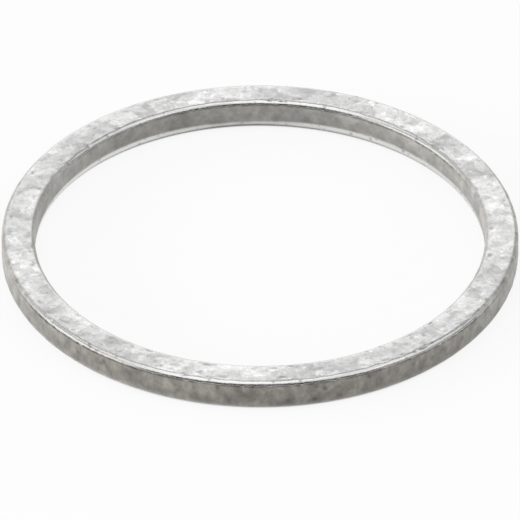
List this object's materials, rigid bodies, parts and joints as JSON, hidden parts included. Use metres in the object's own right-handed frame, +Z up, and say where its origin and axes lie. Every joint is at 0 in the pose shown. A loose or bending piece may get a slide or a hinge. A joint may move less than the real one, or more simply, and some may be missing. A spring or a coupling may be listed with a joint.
{
  "type": "sealing ring",
  "caption": "Flat solid aluminium ring of square section with rounded edges, squeezed under a plug or fitting to seal a screwed joint.",
  "frame": {"origin": "centre of the ring, on the lower sealing face that it rests on", "axes": "+Z up along the bore axis, from the lower sealing face to the upper one"},
  "size_m": [0.0306, 0.0306, 0.002],
  "materials": {
    "aluminium": "tumbled, dull satin"
  },
  "bodies": {
    "root": {"sealing_ring": "aluminium"}
  },
  "joints": []
}
